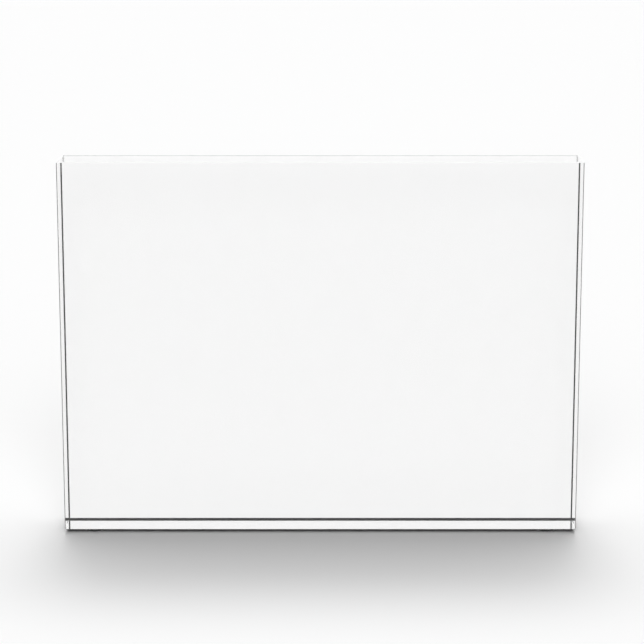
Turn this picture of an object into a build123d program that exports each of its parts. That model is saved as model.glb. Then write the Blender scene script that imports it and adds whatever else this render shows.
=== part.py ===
from build123d import *
import os

# Free-standing photo block: a clear acrylic block with a print and a dark backing bonded behind it.
# Millimetres, +Z up. The viewing face looks along -Y, and the origin is the bottom centre of the whole stack.

# Clear block, for the 13 x 18 cm print format lying on its long side
BLOCK_WIDTH = 180.0
BLOCK_HEIGHT = 130.0
BLOCK_DEPTH = 20.0
ARRIS = 0.3  # 45 degree bevel on every edge but the four rear ones, which stay square

# Sheets bonded behind the block, from the front to the back
FILM_THICKNESS = 0.05
PRINT_THICKNESS = 0.2
ADHESIVE_THICKNESS = 0.05  # behind the print
BACKING_THICKNESS = 0.25
PRINT_SIDE_MARGIN = 0.25  # from the block's sides to the print, filled with adhesive
PRINT_END_MARGIN = 0.52  # from the block's top and underside to the print, filled with adhesive

# Bumper feet under the block
FOOT_DIAMETER = 6.0
FOOT_HEIGHT = 1.3
FOOT_ROUND = 0.4  # radius of the lower rim
FOOT_END_DISTANCE = 10.0  # from the end of the block to a foot's centre

# Places that follow from the sizes
PRINT_DEPTH = FILM_THICKNESS + PRINT_THICKNESS
ADHESIVE_DEPTH = PRINT_DEPTH + ADHESIVE_THICKNESS
FRONT_Y = -(BLOCK_DEPTH + ADHESIVE_DEPTH + BACKING_THICKNESS) / 2
REAR_FACE_Y = FRONT_Y + BLOCK_DEPTH
MIDDLE_Y = FRONT_Y + BLOCK_DEPTH / 2
MIDDLE_Z = FOOT_HEIGHT + BLOCK_HEIGHT / 2


def acrylic_block():
    """One solid block, bevelled along the edges that a hand meets."""
    blank = Pos(0, MIDDLE_Y, MIDDLE_Z) * Box(BLOCK_WIDTH, BLOCK_DEPTH, BLOCK_HEIGHT)
    all_but_rear_edges = blank.edges().sort_by(Axis.Y)[:-4]
    return chamfer(all_but_rear_edges, ARRIS)


def sheet(front_y, thickness, side_margin=0, end_margin=0):
    """A flat sheet behind the block, inside the block's outline by its margins."""
    width = BLOCK_WIDTH - 2 * side_margin
    height = BLOCK_HEIGHT - 2 * end_margin
    return Pos(0, front_y + thickness / 2, MIDDLE_Z) * Box(width, thickness, height)


def bonded_sheets():
    """Mounting film and print, the adhesive that beds and seals them in, and the backing."""
    margins = (PRINT_SIDE_MARGIN, PRINT_END_MARGIN)
    pocket = sheet(REAR_FACE_Y, PRINT_DEPTH, *margins)
    return {
        "mounting_film": sheet(REAR_FACE_Y, FILM_THICKNESS, *margins),
        "photo_print": sheet(REAR_FACE_Y + FILM_THICKNESS, PRINT_THICKNESS, *margins),
        "backing_adhesive": sheet(REAR_FACE_Y, ADHESIVE_DEPTH) - pocket,
        "backing_sheet": sheet(REAR_FACE_Y + ADHESIVE_DEPTH, BACKING_THICKNESS),
    }


def bumper_foot(x, y):
    """A low round bumper, rounded at its lower rim, flat where it is stuck to the block."""
    disc = Pos(x, y, FOOT_HEIGHT / 2) * Cylinder(FOOT_DIAMETER / 2, FOOT_HEIGHT)
    lower_rim = disc.edges().sort_by(Axis.Z)[0]
    return fillet(lower_rim, FOOT_ROUND)


def bumper_feet():
    """Four feet, at the quarter points of the block from front to back."""
    foot_x = BLOCK_WIDTH / 2 - FOOT_END_DISTANCE
    feet = {}
    for row, y in (("front", MIDDLE_Y - BLOCK_DEPTH / 4), ("rear", MIDDLE_Y + BLOCK_DEPTH / 4)):
        for side, x in (("left", -foot_x), ("right", foot_x)):
            feet[f"foot_{row}_{side}"] = bumper_foot(x, y)
    return feet


pieces = {"acrylic_block": acrylic_block(), **bonded_sheets(), **bumper_feet()}

os.makedirs("parts", exist_ok=True)
for node, shape in pieces.items():
    export_step(shape, f"parts/{node}.step")
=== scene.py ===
import math

import bmesh
import bpy
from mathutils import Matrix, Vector


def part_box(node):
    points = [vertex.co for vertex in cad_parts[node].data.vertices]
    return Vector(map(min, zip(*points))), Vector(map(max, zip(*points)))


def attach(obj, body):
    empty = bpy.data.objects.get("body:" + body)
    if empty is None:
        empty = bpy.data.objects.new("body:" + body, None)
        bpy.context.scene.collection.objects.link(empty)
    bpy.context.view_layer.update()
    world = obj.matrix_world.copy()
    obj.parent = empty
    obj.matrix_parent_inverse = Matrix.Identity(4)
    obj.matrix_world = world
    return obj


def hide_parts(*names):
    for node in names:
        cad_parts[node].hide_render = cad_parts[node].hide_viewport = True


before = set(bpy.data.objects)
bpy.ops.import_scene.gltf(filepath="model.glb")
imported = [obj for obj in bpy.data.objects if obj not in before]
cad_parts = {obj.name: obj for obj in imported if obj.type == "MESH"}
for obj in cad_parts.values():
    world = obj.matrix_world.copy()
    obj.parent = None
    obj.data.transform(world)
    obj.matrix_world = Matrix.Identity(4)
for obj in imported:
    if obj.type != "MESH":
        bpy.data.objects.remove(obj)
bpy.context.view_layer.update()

# Free-standing photo block: clear acrylic with a bonded print and a dark backing, on four dark bumpers.
# Metres, +Z up. The viewing face looks along -Y.

# Camera, fitted to the block's edges in the photograph
PHOTO_PIXELS = 644
FOCAL_PIXELS = 2025
SENSOR_WIDTH_MM = 36.0
CAMERA_PITCH = math.radians(10.82)  # below the horizon
CAMERA_TO_FRONT = 0.6871  # along the floor, from the lens to the viewing face
CAMERA_HEIGHT = 0.2072
CAMERA_X = 0.0006

# Clear block
ACRYLIC_INDEX = 1.49
CONTACT = 0.00002  # how far the block sinks into what is bonded to it, so that no air is left between them
FOOT_AIR = 0.00001  # air that stays between the block's underside and the bumpers
WELD = 0.000001  # corners that are closer than this are one
FLAT = math.radians(1)  # triangles that meet at less than this are one face
SQUARE_ON = 0.99  # share of a normal along an axis, past which a face looks along that axis
SLANT = 0.1  # share past which it leans that way

# Bumpers under the block
BUMPER_SIDES = 64
BUMPER_RINGS = 25
RIM_ROUND = 0.0004
TAPE_SHARE = 0.12  # of a bumper's height, the tape that holds it to the block
TAPE_STEP = 0.00008  # how far the tape stays inside the bumper's rim
SHARP = math.radians(40)  # edges that bend by more than this stay crisp

# Studio floor
FLOOR_SIZE = 20.0
FLOOR_WHITE = 0.95
FLOOR_LEVEL = 0.974  # at which the unshaded floor is seen

# Studio lights. A spread is the angle where a light fades out and the one where it is full.
BEHIND = 1
IN_FRONT = -1
KEY = 8.1  # soft light behind the block
KEY_ELEVATION = math.radians(60)
KEY_SPREAD = (math.radians(15), 0.0)
TOP = 2.44  # large light overhead
TOP_ELEVATION = math.radians(75)
TOP_SPREAD = (math.radians(39.5), 0.0)
FILL = 5.8  # broad light from the front
FILL_ELEVATION = math.radians(28.7)
FILL_SPREAD = (math.radians(25.2), math.radians(10))


def grey(level):
    """A neutral colour, as shader sockets take it."""
    return (level, level, level, 1)


class Value:
    """One output of a node. Python's operators on it add Math nodes."""

    def __init__(self, nodes, node, output=0):
        self.nodes = nodes
        self.node = node
        self.output = output

    def __getitem__(self, output):
        return Value(self.nodes, self.node, output)

    def maths(self, operation, first, second):
        return self.nodes.add("ShaderNodeMath", {"operation": operation}, {0: first, 1: second})

    def __add__(self, other):
        return self.maths("ADD", self, other)

    def __rsub__(self, other):
        return self.maths("SUBTRACT", other, self)

    def __mul__(self, other):
        return self.maths("MULTIPLY", self, other)

    def __truediv__(self, other):
        return self.maths("DIVIDE", self, other)

    def __pow__(self, other):
        return self.maths("POWER", self, other)

    def __gt__(self, other):
        return self.maths("GREATER_THAN", self, other)

    __radd__ = __add__
    __rmul__ = __mul__


class Nodes:
    """A node tree, empty at first."""

    def __init__(self, tree):
        self.tree = tree
        tree.nodes.clear()

    def add(self, kind, settings=None, sockets=None):
        """Adds a node, makes its settings, then feeds its sockets with values or links."""
        node = self.tree.nodes.new(kind)
        for name, setting in (settings or {}).items():
            setattr(node, name, setting)
        for name, value in (sockets or {}).items():
            if isinstance(value, Value):
                self.tree.links.new(value.node.outputs[value.output], node.inputs[name])
            else:
                node.inputs[name].default_value = value
        return Value(self, node)

    def grain(self, size, stretch=(1, 1, 1), detail=2.0):
        """Noise from 0 to 1 with grains of this size in metres, longer where stretch is above 1."""
        place = self.add("ShaderNodeTexCoord")["Object"]
        scale = tuple(1 / (size * by) for by in stretch)
        place = self.add("ShaderNodeMapping", None, {"Vector": place, "Scale": scale})
        return self.add("ShaderNodeTexNoise", None, {"Vector": place, "Scale": 1.0, "Detail": detail})["Fac"]

    def pebbles(self, size, smoothness):
        """Distance from the middle of rounded cells of this size in metres, as a share of it."""
        place = self.add("ShaderNodeTexCoord")["Object"]
        cells = {"Vector": place, "Scale": 1 / size, "Smoothness": smoothness}
        return self.add("ShaderNodeTexVoronoi", {"feature": "SMOOTH_F1"}, cells)["Distance"]

    def bump(self, height, depth):
        """A normal from a height of 0 to 1 that stands for this depth in metres."""
        return self.add("ShaderNodeBump", None, {"Height": height, "Strength": 1.0, "Distance": depth})

    def between(self, share, first, second):
        """A grey between two others by a share from 0 to 1."""
        greys = {0: share, 6: grey(first), 7: grey(second)}
        return self.add("ShaderNodeMix", {"data_type": "RGBA"}, greys)[2]

    def opaque(self, colour, roughness, gloss, normal):
        """A solid surface, with a gloss of 0.5 for plain plastic."""
        return self.add("ShaderNodeBsdfPrincipled", None, {
            "Base Color": colour, "Roughness": roughness, "Specular IOR Level": gloss, "Normal": normal})

    def by_ray(self, surface, other, *rays):
        """The other shader in place of the surface for these kinds of ray."""
        path = self.add("ShaderNodeLightPath")
        for ray in rays:
            surface = self.add("ShaderNodeMixShader", None, {0: path[ray], 1: surface, 2: other})
        return surface


def finish(build):
    """A material from the function that builds its shader, by the same name."""
    material = bpy.data.materials.new(build.__name__)
    material.use_nodes = True
    nodes = Nodes(material.node_tree)
    nodes.add("ShaderNodeOutputMaterial", None, {"Surface": build(nodes)})
    return material


def acrylic(nodes, roughness, normal):
    """Clear acrylic. What lies in it is lit straight through it, and to the floor it is a dark body."""
    clear = nodes.add("ShaderNodeBsdfPrincipled", None, {
        "Base Color": grey(1), "Roughness": roughness, "IOR": ACRYLIC_INDEX, "Transmission Weight": 1.0,
        "Normal": normal})
    from_inside = nodes.add("ShaderNodeNewGeometry")["Backfacing"]
    dark = nodes.add("ShaderNodeBsdfDiffuse", None, {"Color": grey(0)})
    open_way = nodes.add("ShaderNodeBsdfTransparent")
    light_path = nodes.add("ShaderNodeMixShader", None, {0: from_inside, 1: dark, 2: open_way})
    return nodes.by_ray(clear, light_path, "Is Shadow Ray", "Is Diffuse Ray")


def polished_acrylic(nodes):
    """Cast sheet with its factory gloss: faint clouds of wear from wiping."""
    wiped = nodes.grain(size=0.012, stretch=(3, 1, 1), detail=4.0)
    return acrylic(nodes, roughness=wiped * 0.03, normal=nodes.bump(wiped, depth=2e-7))


def milled_acrylic(nodes):
    """Diamond-milled edge: fine cutter marks from front to back."""
    marks = nodes.grain(size=0.0003, stretch=(1, 60, 1), detail=1.0)
    return acrylic(nodes, roughness=0.01 + marks * 0.03, normal=nodes.bump(marks, depth=1e-7))


def arris(nodes, darker, lighter):
    """Eased edge of the block, opaque and scraped satin along its length. Its grey, from darker to lighter,
    is painted light and shade in place of what a clear bevel would show.
    """
    scrape = nodes.grain(size=0.00012, stretch=(40, 1, 40))
    return nodes.opaque(
        colour=nodes.between(scrape, darker, lighter), roughness=0.4 + scrape * 0.25, gloss=0.2,
        normal=nodes.bump(scrape, depth=1e-5))


def upper_arris_painted_light(nodes):
    """Front top edge, painted light: pale, as if lit from above."""
    return arris(nodes, darker=0.87, lighter=0.92)


def upright_arris_painted_shade(nodes):
    """Front side edges, painted shade: a middle grey."""
    return arris(nodes, darker=0.19, lighter=0.31)


def lower_arris_painted_shade(nodes):
    """Front lower edge, painted shade: dark, as if shaded by the gap and floor beneath it."""
    return arris(nodes, darker=0.04, lighter=0.08)


def satin_paper(nodes):
    """White photo paper with a fine lustre and a trace of cloud in its base."""
    lustre = nodes.grain(size=0.0005, detail=1.0)
    cloud = nodes.grain(size=0.009, detail=3.0)
    return nodes.opaque(
        colour=nodes.between(cloud, 0.881, 0.889), roughness=0.35 + lustre * 0.2, gloss=0.1,
        normal=nodes.bump(lustre, depth=4e-6))


def cut_adhesive(nodes):
    """Soft black adhesive, drawn into fine strings where it was cut."""
    strings = nodes.grain(size=0.0002, stretch=(1, 8, 1))
    return nodes.opaque(
        colour=nodes.between(strings, 0.034, 0.05), roughness=0.45 + strings * 0.3, gloss=0.2,
        normal=nodes.bump(strings, depth=5e-6))


def pebbled_sheet(nodes):
    """Black plastic sheet, embossed with a pebbled matt grain and rubbed a little smoother in places."""
    pebbles = nodes.pebbles(size=0.001, smoothness=0.6)
    rubbed = nodes.grain(size=0.02, stretch=(2, 1, 1), detail=5.0)
    return nodes.opaque(
        colour=nodes.between(pebbles, 0.03, 0.012), roughness=0.6 - rubbed * 0.25 + pebbles * 0.1, gloss=0.5,
        normal=nodes.bump(pebbles, depth=1.5e-4))


def bumper_rubber(nodes):
    """Moulded black rubber with a satin skin."""
    skin = nodes.grain(size=0.0004)
    return nodes.opaque(
        colour=nodes.between(skin, 0.022, 0.038), roughness=0.5 + skin * 0.25, gloss=0.3,
        normal=nodes.bump(skin, depth=6e-6))


def in_scene(name, data):
    """A new object in the scene."""
    thing = bpy.data.objects.new(name, data)
    bpy.context.scene.collection.objects.link(thing)
    return thing


def add_piece(name, mesh, slot, *replaced):
    """A finished mesh as a piece of the block, in place of its CAD nodes."""
    piece = in_scene(name, mesh)
    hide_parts(*replaced)
    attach(piece, "root")
    return piece


def sink(form, face, low, high, y):
    """Draws a rear face in to a rectangle and pushes it back from there."""
    bmesh.ops.inset_region(form, faces=[face], thickness=CONTACT, use_even_offset=True)
    for vert in face.verts:
        vert.co.x = min(max(vert.co.x, low.x), high.x)
        vert.co.z = min(max(vert.co.z, low.z), high.z)
    sunk = bmesh.ops.extrude_discrete_faces(form, faces=[face])["faces"][0]
    for vert in sunk.verts:
        vert.co.y = y
    return sunk


def block_form():
    """The block with its underside off the bumpers and its rear face sunk into the adhesive and the print."""
    form = bmesh.new()
    form.from_mesh(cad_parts["acrylic_block"].data)
    bmesh.ops.remove_doubles(form, verts=form.verts, dist=WELD)
    bmesh.ops.dissolve_limit(form, angle_limit=FLAT, verts=form.verts, edges=form.edges)
    underside = min(vert.co.z for vert in form.verts) + FOOT_AIR
    for vert in form.verts:
        vert.co.z = max(vert.co.z, underside)

    rear = max(form.faces, key=lambda face: face.calc_center_median().y)
    low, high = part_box("backing_adhesive")
    rear = sink(form, rear, low, high, low.y + CONTACT)
    low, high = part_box("photo_print")
    wider = Vector((CONTACT, 0, CONTACT))
    sink(form, rear, low - wider, high + wider, low.y + CONTACT)
    bmesh.ops.remove_doubles(form, verts=form.verts, dist=WELD)
    bmesh.ops.recalc_face_normals(form, faces=form.faces)
    return form


def block_finish(across, deep, up):
    """The finish of a face of the block, by its normal."""
    if abs(across) > SQUARE_ON or abs(up) > SQUARE_ON:
        return milled_acrylic
    if deep < -SQUARE_ON or deep > -SLANT:
        return polished_acrylic
    # Bevels get painted tones by the way they face: painted light facing up, painted shade facing sideways
    # and down.
    if abs(up) < SLANT:
        return upright_arris_painted_shade
    return upper_arris_painted_light if up > 0 else lower_arris_painted_shade


def add_block():
    """The block and its mounting film as one body, so that no air shows in front of the print. It is clear
    but for its front bevels, which are opaque with painted light and shade.
    """
    form = block_form()
    finishes = (polished_acrylic, milled_acrylic, upper_arris_painted_light, upright_arris_painted_shade, lower_arris_painted_shade)
    for face in form.faces:
        face.material_index = finishes.index(block_finish(*face.normal))
    mesh = bpy.data.meshes.new("clear_block")
    form.to_mesh(mesh)
    form.free()
    for build in finishes:
        mesh.materials.append(finish(build))
    add_piece("clear_block", mesh, "clear_acrylic", "acrylic_block", "mounting_film")


def bumper_tree():
    """One bumper, drawn in at its rounded rim and its tape, then set down at the corners of a rectangle."""
    tree = bpy.data.node_groups.new("bumpers", "GeometryNodeTree")
    lengths = ("Diameter", "Height", "Rim Round", "Tape Share", "Tape Step", "Apart Across", "Apart Deep")
    inputs = [(name, "NodeSocketFloat") for name in lengths]
    inputs += [("Centre", "NodeSocketVector"), ("Finish", "NodeSocketMaterial")]
    for name, kind in inputs:
        tree.interface.new_socket(name, in_out="INPUT", socket_type=kind)
    tree.interface.new_socket("Geometry", in_out="OUTPUT", socket_type="NodeSocketGeometry")
    nodes = Nodes(tree)
    size = nodes.add("NodeGroupInput")
    radius = size["Diameter"] / 2

    drum = nodes.add("GeometryNodeMeshCylinder", None, {
        "Vertices": BUMPER_SIDES, "Side Segments": BUMPER_RINGS, "Radius": radius, "Depth": size["Height"]})
    place = nodes.add("ShaderNodeSeparateXYZ", None, {0: nodes.add("GeometryNodeInputPosition")})
    height = place["Z"] / size["Height"] + 0.5
    below_rim = nodes.add("ShaderNodeClamp", None, {"Value": 1 - height * size["Height"] / size["Rim Round"]})
    rim = size["Rim Round"] * (1 - (1 - below_rim * below_rim) ** 0.5)
    tape = size["Tape Step"] * (height > 1 - size["Tape Share"])
    drawn_in = 1 - (rim + tape) / radius
    shape = nodes.add("ShaderNodeCombineXYZ", None, {
        0: place["X"] * drawn_in, 1: place["Y"] * drawn_in, 2: place["Z"]})
    bumper = nodes.add("GeometryNodeSetPosition", None, {"Geometry": drum, "Position": shape})

    corners = nodes.add("GeometryNodeMeshGrid", None, {
        "Size X": size["Apart Across"], "Size Y": size["Apart Deep"], "Vertices X": 2, "Vertices Y": 2})
    feet = nodes.add("GeometryNodeInstanceOnPoints", None, {"Points": corners, "Instance": bumper})
    feet = nodes.add("GeometryNodeTransform", None, {"Geometry": feet, "Translation": size["Centre"]})
    feet = nodes.add("GeometryNodeRealizeInstances", None, {"Geometry": feet})
    feet = nodes.add("GeometryNodeSetMaterial", None, {"Geometry": feet, "Material": size["Finish"]})
    nodes.add("NodeGroupOutput", None, {"Geometry": feet})
    return tree


def add_bumpers():
    """The four bumpers as one piece, where the feet are. They don't shade the light through the block."""
    low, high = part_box("foot_front_left")
    far_low, far_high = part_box("foot_rear_right")
    sizes = {
        "Diameter": high.x - low.x, "Height": high.z - low.z, "Rim Round": RIM_ROUND,
        "Tape Share": TAPE_SHARE, "Tape Step": TAPE_STEP,
        "Apart Across": far_low.x - low.x, "Apart Deep": far_low.y - low.y,
        "Centre": (low + far_high) / 2, "Finish": finish(bumper_rubber),
    }
    maker = in_scene("bumper_maker", bpy.data.meshes.new("bumper_maker"))
    modifier = maker.modifiers.new("bumpers", "NODES")
    modifier.node_group = bumper_tree()
    for socket in modifier.node_group.interface.items_tree:
        if socket.in_out == "INPUT":
            modifier[socket.identifier] = sizes[socket.name]
    made = maker.evaluated_get(bpy.context.evaluated_depsgraph_get())
    mesh = bpy.data.meshes.new_from_object(made)
    bpy.data.objects.remove(maker)
    mesh.shade_smooth()
    mesh.set_sharp_from_angle(angle=SHARP)
    feet = [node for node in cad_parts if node.startswith("foot_")]
    bumpers = add_piece("dark_bumpers", mesh, "dark_bumper", *feet)
    bumpers.visible_diffuse = False
    bumpers.visible_shadow = False


def finish_sheets():
    """The sheets behind the block keep their CAD shape and get their finish."""
    builds = {"photo_print": satin_paper, "backing_adhesive": cut_adhesive, "backing_sheet": pebbled_sheet}
    for node, build in builds.items():
        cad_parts[node].material_slots[0].material = finish(build)


def studio_floor():
    """Pale floor. Its bounce is even, as from a floor that the block doesn't shade."""
    half = FLOOR_SIZE / 2
    corners = [(-half, -half, 0), (half, -half, 0), (half, half, 0), (-half, half, 0)]
    mesh = bpy.data.meshes.new("floor")
    mesh.from_pydata(corners, [], [(0, 1, 2, 3)])

    def pale_floor(nodes):
        white = nodes.add("ShaderNodeBsdfDiffuse", None, {"Color": grey(FLOOR_WHITE)})
        even = nodes.add("ShaderNodeEmission", None, {"Color": grey(1), "Strength": FLOOR_LEVEL})
        return nodes.by_ray(white, even, "Is Diffuse Ray")

    material = finish(pale_floor)
    material.cycles.emission_sampling = "NONE"
    mesh.materials.append(material)
    in_scene("floor", mesh)


def studio_sky():
    """Soft lights behind, overhead and in front, with a white backdrop."""
    world = bpy.data.worlds.new("studio_sky")
    world.use_nodes = True
    bpy.context.scene.world = world
    nodes = Nodes(world.node_tree)
    direction = nodes.add("ShaderNodeTexCoord")["Generated"]

    def soft_light(strength, side, elevation, spread):
        """A round light that stands on one side of the block, at an elevation from the floor there."""
        towards = (0, side * math.cos(elevation), math.sin(elevation))
        along = nodes.add("ShaderNodeVectorMath", {"operation": "DOT_PRODUCT"}, {0: direction, 1: towards})
        fade, full = (math.cos(angle) for angle in spread)
        shape = nodes.add("ShaderNodeMapRange", {"interpolation_type": "SMOOTHSTEP"}, {
            "Value": along["Value"], "From Min": fade, "From Max": full})
        return strength * shape

    key = soft_light(KEY, BEHIND, KEY_ELEVATION, KEY_SPREAD)
    top = soft_light(TOP, BEHIND, TOP_ELEVATION, TOP_SPREAD)
    fill = soft_light(FILL, IN_FRONT, FILL_ELEVATION, FILL_SPREAD)
    light = nodes.add("ShaderNodeBackground", None, {"Color": grey(1), "Strength": key + top + fill})
    white = nodes.add("ShaderNodeBackground", None, {"Color": grey(1), "Strength": 1.0})
    seen = nodes.by_ray(light, white, "Is Camera Ray", "Is Glossy Ray", "Is Transmission Ray")
    nodes.add("ShaderNodeOutputWorld", None, {"Surface": seen})


def studio_camera():
    """Camera in front of the viewing face, where the photograph was taken from."""
    data = bpy.data.cameras.new("camera")
    data.sensor_width = SENSOR_WIDTH_MM
    data.lens = FOCAL_PIXELS / PHOTO_PIXELS * SENSOR_WIDTH_MM
    data.clip_end = FLOOR_SIZE
    camera = in_scene("camera", data)
    viewing_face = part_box("acrylic_block")[0].y
    camera.location = (CAMERA_X, viewing_face - CAMERA_TO_FRONT, CAMERA_HEIGHT)
    camera.rotation_euler = (math.pi / 2 - CAMERA_PITCH, 0, 0)
    bpy.context.scene.camera = camera


add_block()
add_bumpers()
finish_sheets()
studio_floor()
studio_sky()
studio_camera()
bpy.context.scene.view_settings.view_transform = "Standard"
